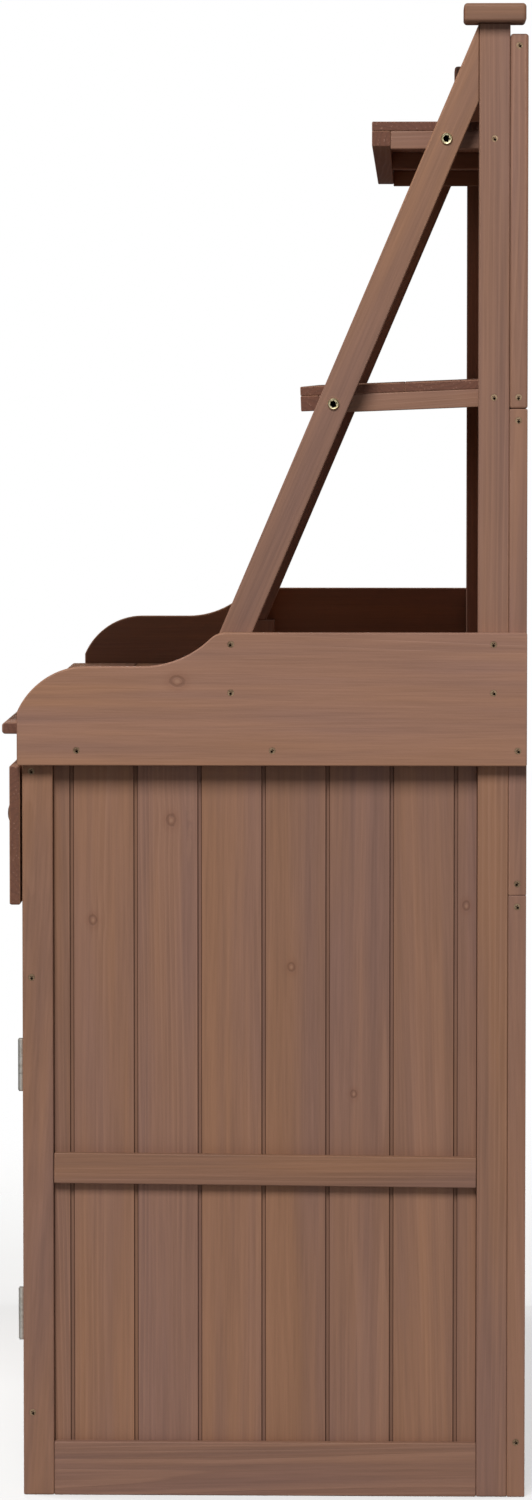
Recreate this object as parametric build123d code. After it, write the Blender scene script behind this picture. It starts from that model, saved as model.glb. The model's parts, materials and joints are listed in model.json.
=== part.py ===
from build123d import *
import os
from math import acos, asin, cos, radians, sin, sqrt, tan

# Wooden potting bench: a cabinet with two drawers and two doors under a worktop, shaped side boards,
# tall rear posts with slanted braces that carry two narrow shelves, and a panelled back.
# Frame: +Z up, +X to the right, the front faces -Y, the origin is on the floor in the middle of the
# footprint, knobs included.

os.makedirs("parts", exist_ok=True)

# ---------------------------------------------------------------- driving dimensions, millimetres
bench_width = 1180.0            # over the outer faces of the side boards
bench_height = 1452.0           # floor to the top of the post caps
worktop_height = 758.5          # floor to the upper face of the worktop
frame_depth = 473.0             # front face of the front posts to the rear face of the rear posts

post_size = 30.0                # square section of the four posts
cap_size = 60.0                 # square cap on each rear post
cap_thickness = 18.0
cap_rounding = 3.6

panel_thickness = 10.0          # side panel boards
panel_pitch = 62.4              # covering width of one tongued board
side_rail_thickness = 10.0      # rails outside the side panel, flush with the posts
side_bottom_rail_height = 53.0
side_middle_rail_height = 30.0
side_middle_rail_level = 306.0  # underside of the middle rail at mid length
side_middle_rail_tilt = 0.48    # degrees, lower at the rear
side_middle_rail_end_gap = 0.3
side_top_rail_height = 30.0
cleat_thickness = 20.0          # cleats inside the side panel

tongue_length = 4.0
tongue_thickness = 3.0
tongue_depth = 2.2              # from the face of a board to its tongue
tongue_fit = 0.1                # clearance above and below a tongue
tongue_end_gap = 0.5
face_gap = 3.0                  # visible groove between two tongued boards
face_bevel = 0.7
narrowest_board = 15.0          # cut boards at the ends of a panel are at least this wide

side_board_thickness = 15.0
side_board_height = 129.0
side_board_below = 40.7         # how far the side board reaches below the worktop's upper face
side_board_nose = 4.0           # past the front face of the front posts
nose_height = 51.5              # straight front end of the side board
step_drop = 33.0                # the low front part under the high rear part
nose_radius = 73.0
ogee_start = 121.5              # from the front end to the foot of the S curve
ogee_foot_radius = 95.0
ogee_top_radius = 22.0
board_easing = 1.5              # rounding of the side boards' outer edge
flat_board_easing = 0.8         # chamfer along worktop, floor and shelf boards
frame_easing = 1.0              # chamfer around the faces of door frame pieces

worktop_thickness = 11.0
worktop_overhang = 19.5         # past the front face of the front posts
worktop_board_count = 6
worktop_end_gap = 0.5           # to each side board
worktop_nosing = 3.5            # rounding of the front edge
worktop_support_height = 30.0
batten_width = 40.0
batten_thickness = 20.0

front_rail_thickness = 18.0
front_top_rail_height = 47.5
front_middle_rail_height = 96.0
front_bottom_rail_height = 30.0
front_bottom_rail_level = 66.5

back_thickness = 17.5           # frames on the rear faces of the rear posts
back_splits = [591.0, 1063.0]   # heights at which one back frame stands on the next
back_top_drop = 28.5            # top of the upper frame under the top of the caps
back_stile_width = 40.0
back_rail_height = 30.0
back_foot = 39.0                # underside of the lowest rail
back_board_thickness = 9.0
back_board_pitch = 91.0
back_board_setback = 4.5

drawer_reveal = 31.0            # front rail that shows over the drawer fronts
drawer_front_height = 136.0
drawer_front_thickness = 10.5
drawer_front_gap = 2.0          # to the posts behind, to the next drawer and to the side edge
drawer_front_overlap = 14.0     # over the middle front rail
drawer_board = 10.0
drawer_side_height = 94.0
drawer_rear_room = 60.0         # behind the closed drawer, in front of the rear posts
drawer_side_gap = 3.0
drawer_running_gap = 0.3
drawer_bottom_thickness = 5.0
drawer_groove = 4.0
drawer_groove_fit = 0.1
drawer_bottom_lift = 8.0
drawer_easing = 2.0
divider_thickness = 18.0
runner_width = 30.0
runner_height = 20.0
runner_fence = 18.0

door_gap = 3.0                  # above, below and between the doors
door_hinge_gap = 3.5
door_thickness = 18.0
door_frame_width = 45.0
door_board_thickness = 8.0
door_board_setback = 5.0

knob_radius = 15.0
knob_reach = 21.5               # past the face that the knob stands on
knob_head_low = 10.5            # underside of the head
knob_head_edge = 13.5           # rim of the head, where its dome starts
knob_neck_radius = 7.0
knob_spigot_radius = 4.0
knob_spigot_fit = 0.05
knob_from_door_edge = 24.0

hinge_height = 50.0
hinge_leaf = 1.5
hinge_leaf_depth = 16.0
hinge_barrel_radius = 3.2
hinge_pin_radius = 1.5
hinge_pin_fit = 0.05
hinge_pin_cap = 1.0
hinge_pin_cap_radius = 2.5
hinge_knuckle_gap = 0.3
hinge_from_end = 50.0           # door end to the nearer end of a hinge

catch_width = 30.0
catch_depth = 14.0
catch_height = 15.0             # each half, above and below the rail's lower edge
catch_from_middle = 20.0
catch_clearance = 0.4
strike_thickness = 1.2

floor_thickness = 10.0
floor_board_count = 5
floor_joist_width = 30.0
shelf_board_thickness = 11.0    # loose shelf inside the cabinet
cabinet_shelf_set_back = 83.0    # from the front posts' front face to the shelf's front edge
cabinet_shelf_board_count = 4
cabinet_strip = 20.0

brace_width = 29.5
brace_lean = 23.1               # degrees from upright
brace_foot_height = 52.0        # block between the worktop and the foot of the brace
wall_shelf_thickness = 9.0
wall_shelf_cleat = 17.5
wall_shelf_cleat_width = 18.0
wall_shelf_strip = 18.0
wall_shelf_strip_height = 15.0
wall_shelf_boards = 2
upper_shelf_share = 0.1603      # top face of the upper shelf at the back, as a share of the way
                                # down from the cap's top to the worktop
upper_shelf_depth = 133.5
upper_shelf_tilt = 0.0          # degrees, front edge lower
middle_shelf_share = 0.5185
middle_shelf_depth = 203.2
middle_shelf_tilt = 2.3

bolt_radius = 3.0
bolt_head_radius = 5.75
bolt_head_height = 3.0
bolt_socket = 4.8               # across the flats
bolt_socket_depth = 2.0
bolt_past_nut = 3.0
nut_radius = 5.5
nut_height = 5.0
bolt_fit = 0.1

screw_radius = 1.75
screw_head_radius = 3.3
screw_head_depth = 2.2
screw_length = 38.0
screw_recess = 0.4              # head under the surface
screw_fit = 0.05
screw_from_frame_end = 11.2
foot_screw_drop = 21.9          # lower screw of each brace, under the joint of brace and block
side_board_screw_insets = [24.0, 214.0]  # along the top side rail, from the front post

# ---------------------------------------------------------------- places worked out from them
outer_x = bench_width / 2
post_x = outer_x - side_board_thickness          # outer face of the posts
inner_x = post_x - post_size                     # inner face of the posts
panel_x = post_x - side_rail_thickness           # outer face of the side panel
cleat_x = panel_x - panel_thickness              # inner face of the side panel

drawer_reach = drawer_front_gap + drawer_front_thickness + knob_reach
overall_depth = back_thickness + frame_depth + drawer_reach
back_y = overall_depth / 2                       # rear face of the back frames
post_back_y = back_y - back_thickness
rear_post_front_y = post_back_y - post_size
front_y = post_back_y - frame_depth              # front face of the front posts
front_post_back_y = front_y + post_size
rail_back_y = front_y + front_rail_thickness

worktop_under = worktop_height - worktop_thickness
drawer_top = worktop_under - drawer_reveal
drawer_bottom = drawer_top - drawer_front_height
middle_rail_top = drawer_bottom + drawer_front_overlap
middle_rail_bottom = middle_rail_top - front_middle_rail_height
top_rail_bottom = worktop_under - front_top_rail_height
opening_bottom = front_bottom_rail_level + front_bottom_rail_height
post_top = bench_height - cap_thickness
back_top = bench_height - back_top_drop
open_height = bench_height - worktop_height          # above the worktop
side_board_bottom = worktop_height - side_board_below
side_board_top = side_board_bottom + side_board_height
side_board_front_y = front_y - side_board_nose

# The brace's front edge meets the rear post right under its cap.
brace_slope = tan(radians(brace_lean))
brace_span = brace_width / cos(radians(brace_lean))
brace_foot_z = worktop_height + brace_foot_height


def brace_middle_y(z):
    """Y of the brace's centre line at a height."""
    return rear_post_front_y - (post_top - z) * brace_slope + brace_span / 2


# ---------------------------------------------------------------- helpers
def block(x0, x1, y0, y1, z0, z1):
    """Box between two corners."""
    return Pos((x0 + x1) / 2, (y0 + y1) / 2, (z0 + z1) / 2) * Box(x1 - x0, y1 - y0, z1 - z0)


def mirrored(shapes):
    """The same pieces on the left side."""
    return [mirror(shape, about=Plane.YZ) for shape in shapes]


def both_sides(shapes):
    return list(shapes) + mirrored(shapes)


def tongued_board(width, thickness, height, with_groove, with_tongue):
    """Upright board from x = 0 to its width, face at y = 0, tongue on the +X edge."""
    tongue_top = tongue_depth * thickness / panel_thickness
    tongue_end = tongue_top + tongue_thickness * thickness / panel_thickness
    points = [(face_bevel, 0)]
    if with_tongue:
        shoulder = width - face_gap
        points += [(shoulder - face_bevel, 0), (shoulder, face_bevel), (shoulder, tongue_top)]
        points += [(width + tongue_length, tongue_top), (width + tongue_length, tongue_end)]
        points += [(width, tongue_end), (width, thickness)]
    else:
        points += [(width - face_bevel, 0), (width, face_bevel), (width, thickness)]
    points.append((0, thickness))
    if with_groove:
        depth = tongue_length + tongue_end_gap
        points += [(0, tongue_end + tongue_fit), (depth, tongue_end + tongue_fit)]
        points += [(depth, tongue_top - tongue_fit), (0, tongue_top - tongue_fit)]
    points.append((0, face_bevel))
    return extrude(make_face(Polyline(points, close=True)), amount=height, dir=(0, 0, 1))


def tongued_panel(length, pitch, thickness, height):
    """Row of tongued boards from x = 0 to the length, with two equal cut boards at the ends."""
    whole = int(length // pitch)
    edge = (length - whole * pitch) / 2
    if edge < narrowest_board:
        whole -= 1
        edge = (length - whole * pitch) / 2
    widths = [edge] + [pitch] * whole + [edge]
    boards = []
    start = 0
    for index, width in enumerate(widths):
        board = tongued_board(width, thickness, height, index > 0, index < len(widths) - 1)
        boards.append(Pos(start, 0, 0) * board)
        start += width
    return boards


def across_boards(x0, x1, y0, y1, z0, z1, count):
    """Flat boards along X, side by side from y0 to y1, with eased upper edges."""
    boards = []
    step = (y1 - y0) / count
    for index in range(count):
        board = block(x0, x1, y0 + index * step, y0 + (index + 1) * step, z0, z1)
        long_edges = board.edges().filter_by(Axis.X).group_by(Axis.Z)[-1]
        boards.append(chamfer(long_edges, flat_board_easing))
    return boards


# ---------------------------------------------------------------- carcass
def front_posts():
    return both_sides([block(inner_x, post_x, front_y, front_post_back_y, 0, worktop_under)])


def rear_posts():
    return both_sides([block(inner_x, post_x, rear_post_front_y, post_back_y, 0, post_top)])


def post_caps():
    middle_x = (inner_x + post_x) / 2
    middle_y = (rear_post_front_y + post_back_y) / 2
    cap = Pos(middle_x, middle_y, post_top + cap_thickness / 2) * Box(cap_size, cap_size, cap_thickness)
    cap = fillet(cap.edges(), cap_rounding)
    return both_sides([cap])


def side_rails():
    """Bottom, top and middle rail; the middle one is nailed on a little out of level."""
    front, back = front_post_back_y, rear_post_front_y
    bottom = block(panel_x, post_x, front, back, 0, side_bottom_rail_height)
    top = block(panel_x, post_x, front, back, worktop_under - side_top_rail_height, worktop_under)
    length = back - front - 2 * side_middle_rail_end_gap
    middle = Box(side_rail_thickness, length, side_middle_rail_height)
    middle_z = side_middle_rail_level + side_middle_rail_height / 2
    place = Pos((panel_x + post_x) / 2, (front + back) / 2, middle_z)
    return both_sides([bottom, top, place * Rot(-side_middle_rail_tilt, 0, 0) * middle])


def side_panel():
    """Right side panel: the boards stand on the floor line, faces outward."""
    length = rear_post_front_y - front_post_back_y
    boards = tongued_panel(length, panel_pitch, panel_thickness, worktop_under)
    return [Pos(panel_x, front_post_back_y, 0) * Rot(0, 0, 90) * board for board in boards]


def side_cleats():
    """Cleats inside the side panels, under the cabinet floor, the cabinet shelf and the worktop."""
    x0 = cleat_x - cleat_thickness
    levels = [
        (opening_bottom - floor_thickness - cleat_thickness, opening_bottom - floor_thickness),
        (side_middle_rail_level, side_middle_rail_level + side_middle_rail_height),
        (worktop_under - side_top_rail_height, worktop_under),
    ]
    cleats = [block(x0, cleat_x, front_post_back_y, rear_post_front_y, low, high) for low, high in levels]
    return both_sides(cleats)


def side_board():
    """Shaped board outside the right posts, its outline drawn from the front end to the rear."""
    front, low, high = side_board_front_y, side_board_bottom, side_board_top
    step = high - step_drop
    nose_top = low + nose_height
    nose_rise = step - nose_top
    nose_run = sqrt(2 * nose_radius * nose_rise - nose_rise**2)
    nose_turn = acos(1 - nose_rise / nose_radius) / 2
    nose_middle = (
        front + nose_run - nose_radius * sin(nose_turn),
        step - nose_radius * (1 - cos(nose_turn)),
    )
    turn = acos(1 - step_drop / (ogee_foot_radius + ogee_top_radius))
    foot = front + ogee_start
    joint = (foot + ogee_foot_radius * sin(turn), step + ogee_foot_radius * (1 - cos(turn)))
    top = foot + (ogee_foot_radius + ogee_top_radius) * sin(turn)
    foot_middle = (foot + ogee_foot_radius * sin(turn / 2), step + ogee_foot_radius * (1 - cos(turn / 2)))
    top_middle = (top - ogee_top_radius * sin(turn / 2), high - ogee_top_radius * (1 - cos(turn / 2)))
    outline = [
        Line((front, low), (front, nose_top)),
        ThreePointArc((front, nose_top), nose_middle, (front + nose_run, step)),
        Line((front + nose_run, step), (foot, step)),
        ThreePointArc((foot, step), foot_middle, joint),
        ThreePointArc(joint, top_middle, (top, high)),
        Line((top, high), (back_y, high)),
        Line((back_y, high), (back_y, low)),
        Line((back_y, low), (front, low)),
    ]
    # Plane.YZ draws Y to the right and Z up, and extrudes along +X.
    board = Pos(post_x, 0, 0) * extrude(Plane.YZ * make_face(outline), side_board_thickness)
    return [fillet(board.faces().sort_by(Axis.X)[-1].edges(), board_easing)]


def front_rail(low, high):
    return [block(-inner_x, inner_x, front_y, rail_back_y, low, high)]


def worktop_supports():
    """Battens under the worktop and the ledger between the rear posts."""
    reach = (inner_x + divider_thickness / 2) / 2
    half = batten_width / 2
    low = worktop_under - batten_thickness
    batten = block(reach - half, reach + half, rail_back_y, rear_post_front_y, low, worktop_under)
    ledger_low = worktop_under - worktop_support_height
    ledger = block(-inner_x, inner_x, rear_post_front_y, post_back_y, ledger_low, worktop_under)
    return both_sides([batten]) + [ledger]


def worktop_boards():
    """Boards along X; the front one is rounded, and a narrow one fills in between the rear posts."""
    end = post_x - worktop_end_gap
    front = front_y - worktop_overhang
    back = rear_post_front_y - worktop_end_gap
    step = (back - front) / worktop_board_count
    first = block(-end, end, front, front + step, worktop_under, worktop_height)
    nosing = first.edges().filter_by(Axis.X).group_by(Axis.Y)[0]
    nosing += first.edges().filter_by(Axis.Z).group_by(Axis.Y)[0]
    others = across_boards(
        -end, end, front + step, back, worktop_under, worktop_height, worktop_board_count - 1
    )
    infill_x = inner_x - worktop_end_gap
    infill = block(-infill_x, infill_x, back, post_back_y, worktop_under, worktop_height)
    return [fillet(nosing, worktop_nosing)] + others + [infill]


# ---------------------------------------------------------------- back
def back_frame(low, high, rail_low):
    """Two stiles and two rails."""
    stile = block(post_x - back_stile_width, post_x, post_back_y, back_y, low, high)
    rail_x = post_x - back_stile_width
    bottom = block(-rail_x, rail_x, post_back_y, back_y, rail_low, rail_low + back_rail_height)
    top = block(-rail_x, rail_x, post_back_y, back_y, high - back_rail_height, high)
    return both_sides([stile]) + [bottom, top]


def back_boards(high, rail_low):
    """Tongued boards between the rails and stiles of one back frame, faces to the front."""
    low = rail_low + back_rail_height
    half = post_x - back_stile_width
    height = high - back_rail_height - low
    boards = tongued_panel(2 * half, back_board_pitch, back_board_thickness, height)
    return [Pos(-half, post_back_y + back_board_setback, low) * board for board in boards]


# ---------------------------------------------------------------- cabinet
def cabinet_floor():
    """Floor boards on a middle joist and on the side cleats."""
    top = opening_bottom
    under = top - floor_thickness
    boards = across_boards(
        -inner_x, inner_x, rail_back_y, post_back_y, under, top, floor_board_count
    )
    half = floor_joist_width / 2
    joist = block(-half, half, rail_back_y, post_back_y, under - floor_joist_width, under)
    return boards + [joist]


def cabinet_shelf():
    """Shelf boards on the side cleats, with a stiffening strip under the front one."""
    under = side_middle_rail_level + side_middle_rail_height
    front = front_y + cabinet_shelf_set_back
    top = under + shelf_board_thickness
    boards = across_boards(
        -inner_x, inner_x, front, post_back_y, under, top, cabinet_shelf_board_count
    )
    strip_x = cleat_x - cleat_thickness
    strip = block(-strip_x, strip_x, front, front + cabinet_strip, under - cabinet_strip, under)
    return boards + [strip]


def drawer_divider():
    """Upright between the two drawers and the panel behind it."""
    half = divider_thickness / 2
    upright = block(-half, half, front_y, rail_back_y, middle_rail_top, top_rail_bottom)
    panel = block(-half, half, rail_back_y, rear_post_front_y, middle_rail_top, worktop_under)
    return [upright, panel]


def drawer_runners():
    """Runners under the drawer sides: an L profile at each side and a wide one in the middle."""
    low = middle_rail_top - runner_height
    high = middle_rail_top + runner_fence
    front, back = front_post_back_y, rear_post_front_y
    base = block(cleat_x - runner_width, cleat_x, front, back, low, middle_rail_top)
    fence = block(inner_x, cleat_x, front, back, middle_rail_top, high)
    half = divider_thickness / 2 + runner_width - (cleat_x - inner_x)
    middle = block(-half, half, rail_back_y, post_back_y, low, middle_rail_top)
    return both_sides([base + fence]) + [middle]


# ---------------------------------------------------------------- braces and wall shelves
def brace():
    """Slanted brace in the plane of the right posts, cut upright at the top and level at the foot."""
    low_middle = brace_middle_y(brace_foot_z)
    half = brace_span / 2
    points = [
        (low_middle - half, brace_foot_z),
        (low_middle + half, brace_foot_z),
        (rear_post_front_y, post_top - brace_span / brace_slope),
        (rear_post_front_y, post_top),
    ]
    face = make_face(Polyline(points, close=True))
    return [Pos(inner_x, 0, 0) * extrude(Plane.YZ * face, post_size)]


def brace_feet():
    """Blocks on the worktop that the braces stand on."""
    middle = brace_middle_y(side_board_top - screw_from_frame_end)
    half = post_size / 2
    return both_sides(
        [block(inner_x, post_x, middle - half, middle + half, worktop_height, brace_foot_z)]
    )


class WallShelf:
    """Narrow shelf between the posts and braces, level or with its front edge a little lower."""

    def __init__(self, drop, depth, tilt):
        self.depth = depth
        self.tilt = tilt
        self.height = bench_height - drop
        # Local frame: x along the shelf, y from the back (0) to the front (-depth), z = 0 on top.
        self.place = Pos(0, post_back_y, self.height) * Rot(tilt, 0, 0)

    def boards(self):
        # A tilted shelf stands off the back by what its lower edge swings to the rear.
        back = -wall_shelf_thickness * abs(sin(radians(self.tilt)))
        boards = across_boards(
            -inner_x, inner_x, -self.depth, back, -wall_shelf_thickness, 0, wall_shelf_boards
        )
        return [self.place * board for board in boards]

    def strip(self):
        low = -wall_shelf_thickness - wall_shelf_strip_height
        strip = block(
            -inner_x, inner_x, -self.depth, -self.depth + wall_shelf_strip, low, -wall_shelf_thickness
        )
        return [self.place * strip]

    def cleats(self):
        """Two end cleats and one in the middle, behind the front strip."""
        low = -wall_shelf_thickness - wall_shelf_cleat
        back = low * abs(sin(radians(self.tilt)))
        front = -self.depth + wall_shelf_strip
        end = block(inner_x - wall_shelf_cleat_width, inner_x, front, back, low, -wall_shelf_thickness)
        half = wall_shelf_cleat_width / 2
        middle = block(-half, half, front, back, low, -wall_shelf_thickness)
        return [self.place * cleat for cleat in both_sides([end]) + [middle]]

    def cleat_height(self, y):
        """Height of the end cleat's middle at a depth."""
        top = self.height - (post_back_y - y) * tan(radians(self.tilt))
        return top - (wall_shelf_thickness + wall_shelf_cleat / 2) / cos(radians(self.tilt))


upper_shelf = WallShelf(upper_shelf_share * open_height, upper_shelf_depth, upper_shelf_tilt)
middle_shelf = WallShelf(middle_shelf_share * open_height, middle_shelf_depth, middle_shelf_tilt)


# ---------------------------------------------------------------- fasteners
def bolt_place(shelf):
    """Where the brace's centre line crosses the middle of the shelf's end cleat."""
    y = brace_middle_y(shelf.height)
    for _ in range(20):
        y = brace_middle_y(shelf.cleat_height(y))
    return y, shelf.cleat_height(y)


def along_x(x, y, z, shape):
    """Turn a shape whose axis is Z so that it enters the right side at (x, y, z)."""
    return Pos(x, y, z) * Rot(0, -90, 0) * shape


def brace_bolts():
    """Domed socket bolts through each brace and shelf cleat."""
    bolts = []
    length = post_size + wall_shelf_cleat_width + nut_height + bolt_past_nut
    for shelf in (upper_shelf, middle_shelf):
        y, z = bolt_place(shelf)
        dome_radius = (bolt_head_radius**2 + bolt_head_height**2) / (2 * bolt_head_height)
        head = Pos(0, 0, dome_radius - bolt_head_height) * Sphere(dome_radius)
        head &= Pos(0, 0, -bolt_head_height / 2) * Cylinder(bolt_head_radius, bolt_head_height)
        shank = Pos(0, 0, length / 2) * Cylinder(bolt_radius, length)
        socket = extrude(RegularPolygon(bolt_socket / 2, 6, major_radius=False), -bolt_socket_depth)
        socket = Pos(0, 0, -bolt_head_height + bolt_socket_depth) * socket
        bolts.append(along_x(post_x, y, z, head + shank - socket))
    return both_sides(bolts)


def brace_nuts():
    nuts = []
    inside = inner_x - wall_shelf_cleat_width
    for shelf in (upper_shelf, middle_shelf):
        y, z = bolt_place(shelf)
        nut = extrude(RegularPolygon(nut_radius, 6, major_radius=False), nut_height)
        nut -= Pos(0, 0, nut_height / 2) * Cylinder(bolt_radius + bolt_fit, nut_height)
        nuts.append(along_x(inside, y, z, nut))
    return both_sides(nuts)


def bolt_holes():
    holes = []
    for shelf in (upper_shelf, middle_shelf):
        y, z = bolt_place(shelf)
        length = post_size + wall_shelf_cleat_width
        holes.append(along_x(post_x, y, z, Pos(0, 0, length / 2) * Cylinder(bolt_radius + bolt_fit, length)))
    return both_sides(holes)


def screw(fit=0.0):
    """Countersunk screw whose axis is Z; with a fit it is the hole around that screw."""
    cone = Pos(0, 0, screw_recess + screw_head_depth / 2) * Cone(
        screw_head_radius + fit, screw_radius + fit, screw_head_depth
    )
    shank_start = screw_recess + screw_head_depth
    shank = Pos(0, 0, shank_start + (screw_length - shank_start) / 2) * Cylinder(
        screw_radius + fit, screw_length - shank_start + 2 * fit
    )
    body = cone + shank
    if fit:
        body += Pos(0, 0, screw_recess / 2) * Cylinder(screw_head_radius + fit, screw_recess)
    return body


def screw_places():
    """Heads on the right side, as (x, y, z): side board, front post, rear post, back stiles."""
    foot_y = brace_middle_y(side_board_top - screw_from_frame_end)
    rear_y = (rear_post_front_y + post_back_y) / 2
    rail_z = worktop_under - side_top_rail_height / 2
    low_z = brace_foot_z - foot_screw_drop
    high_z = side_board_top - screw_from_frame_end
    front_screw_y = front_y + front_rail_thickness / 2
    stile_y = post_back_y + back_thickness / 2
    places = []
    for y in (foot_y, rear_y):
        places += [(outer_x, y, high_z), (outer_x, y, low_z)]
    for inset in side_board_screw_insets:
        places.append((outer_x, front_post_back_y + inset, rail_z))
    places.append((outer_x, stile_y, rail_z))
    for z in (
        top_rail_bottom + screw_from_frame_end,
        middle_rail_bottom + screw_from_frame_end,
        front_bottom_rail_level + front_bottom_rail_height / 2,
    ):
        places.append((post_x, front_screw_y, z))
    for shelf in (upper_shelf, middle_shelf):
        places.append((post_x, rear_y, shelf.cleat_height(rear_y)))
    stile_heights = [back_foot + back_rail_height / 2, back_top - screw_from_frame_end]
    for split in back_splits:
        stile_heights += [split - screw_from_frame_end, split + screw_from_frame_end]
    return places + [(post_x, stile_y, z) for z in stile_heights]


def wood_screws():
    return both_sides([along_x(x, y, z, screw()) for x, y, z in screw_places()])


def screw_holes():
    return both_sides([along_x(x, y, z, screw(screw_fit)) for x, y, z in screw_places()])


# ---------------------------------------------------------------- knobs, drawers, doors
def knob():
    """Turned mushroom knob on the axis Z, standing on z = 0, with its spigot below."""
    spigot = drawer_front_thickness - 0.5
    dome = knob_reach - knob_head_edge
    dome_radius = (knob_radius**2 + dome**2) / (2 * dome)
    dome_turn = asin(knob_radius / dome_radius) / 2
    section = make_face(
        [
            Line((0, -spigot), (knob_spigot_radius, -spigot)),
            Line((knob_spigot_radius, -spigot), (knob_spigot_radius, 0)),
            Line((knob_spigot_radius, 0), (knob_neck_radius + 2, 0)),
            ThreePointArc(
                (knob_neck_radius + 2, 0),
                (knob_neck_radius, knob_head_low / 2),
                (knob_radius - 2, knob_head_low),
            ),
            Line((knob_radius - 2, knob_head_low), (knob_radius, knob_head_edge)),
            ThreePointArc(
                (knob_radius, knob_head_edge),
                (dome_radius * sin(dome_turn), knob_reach - dome_radius * (1 - cos(dome_turn))),
                (0, knob_reach),
            ),
            Line((0, knob_reach), (0, -spigot)),
        ]
    )
    return revolve(Plane.XZ * section, Axis.Z)


def knob_at(x, y, z):
    """Knob on a front face at y, its axis along -Y."""
    return Pos(x, y, z) * Rot(90, 0, 0) * knob()


def knob_hole(x, y, z, depth):
    return Pos(x, y + depth / 2, z) * Rot(90, 0, 0) * Cylinder(knob_spigot_radius + knob_spigot_fit, depth)


drawer_x0 = divider_thickness / 2 + drawer_side_gap
drawer_x1 = inner_x - drawer_side_gap
drawer_front_back_y = front_y - drawer_front_gap
drawer_back_y = rear_post_front_y - drawer_rear_room
drawer_low = middle_rail_top + drawer_running_gap
drawer_middle_x = (drawer_front_gap / 2 + post_x - drawer_front_gap) / 2
drawer_middle_z = (drawer_bottom + drawer_top) / 2


def drawer_pieces():
    """Right drawer, closed: node ending -> solids."""
    face_y = drawer_front_back_y - drawer_front_thickness
    x0, x1 = drawer_front_gap / 2, post_x - drawer_front_gap
    front = block(x0, x1, face_y, drawer_front_back_y, drawer_bottom, drawer_top)
    front = fillet(front.faces().sort_by(Axis.Y)[0].edges(), drawer_easing)
    front -= knob_hole(drawer_middle_x, face_y, drawer_middle_z, drawer_front_thickness)
    high = drawer_low + drawer_side_height
    groove_low = drawer_low + drawer_bottom_lift
    groove = block(
        drawer_x0 + drawer_board - drawer_groove,
        drawer_x1 - drawer_board + drawer_groove,
        drawer_front_back_y + drawer_board - drawer_groove,
        drawer_back_y - drawer_board + drawer_groove,
        groove_low,
        groove_low + drawer_bottom_thickness + 2 * drawer_groove_fit,
    )
    sides = [
        block(x, x + drawer_board, drawer_front_back_y, drawer_back_y, drawer_low, high) - groove
        for x in (drawer_x0, drawer_x1 - drawer_board)
    ]
    inside0 = drawer_x0 + drawer_board
    inside1 = drawer_x1 - drawer_board
    ends = [
        block(inside0, inside1, y, y + drawer_board, drawer_low, high) - groove
        for y in (drawer_front_back_y, drawer_back_y - drawer_board)
    ]
    slack = drawer_groove - drawer_groove_fit
    bottom = block(
        inside0 - slack,
        inside1 + slack,
        drawer_front_back_y + drawer_board - slack,
        drawer_back_y - drawer_board + slack,
        groove_low + drawer_groove_fit,
        groove_low + drawer_groove_fit + drawer_bottom_thickness,
    )
    return {
        "front": [front],
        "sides": sides,
        "ends": ends,
        "bottom": [bottom],
        "knob": [knob_at(drawer_middle_x, face_y, drawer_middle_z)],
    }


door_x0 = door_gap / 2
door_x1 = inner_x - door_hinge_gap
door_low = opening_bottom + door_gap
door_high = middle_rail_bottom - door_gap
door_back_y = front_y + door_thickness
hinge_axis_x = inner_x - door_hinge_gap / 2
hinge_axis_y = front_y - hinge_barrel_radius - hinge_knuckle_gap
hinge_lows = [door_low + hinge_from_end, door_high - hinge_from_end - hinge_height]
catch_x0 = catch_from_middle
catch_x1 = catch_from_middle + catch_width
strike_y = door_back_y + strike_thickness


def door_pieces():
    """Right door, closed: node ending -> solids."""
    width = door_frame_width
    stiles = [
        block(x, x + width, front_y, door_back_y, door_low, door_high) for x in (door_x0, door_x1 - width)
    ]
    rails = [
        block(door_x0 + width, door_x1 - width, front_y, door_back_y, z, z + width)
        for z in (door_low, door_high - width)
    ]
    eased = [chamfer(piece.faces().sort_by(Axis.Y)[0].edges(), frame_easing) for piece in stiles + rails]
    knob_x = door_x0 + knob_from_door_edge
    knob_z = door_high - width - knob_radius
    eased[0] -= knob_hole(knob_x, front_y, knob_z, drawer_front_thickness)
    span = door_x1 - door_x0 - 2 * width
    height = door_high - door_low - 2 * width
    boards = tongued_panel(span, panel_pitch, door_board_thickness, height)
    boards = [
        Pos(door_x0 + width, front_y + door_board_setback, door_low + width) * board for board in boards
    ]
    strike_low = middle_rail_bottom - catch_height
    strike = block(catch_x0, catch_x1, door_back_y, strike_y, strike_low, door_high - frame_easing)
    return {
        "frame": eased,
        "boards": boards,
        "hinge_leaves": [hinge_leaf_at(low, moving=True) for low in hinge_lows],
        "knob": [knob_at(knob_x, front_y, knob_z)],
        "strike": [strike],
    }


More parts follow.
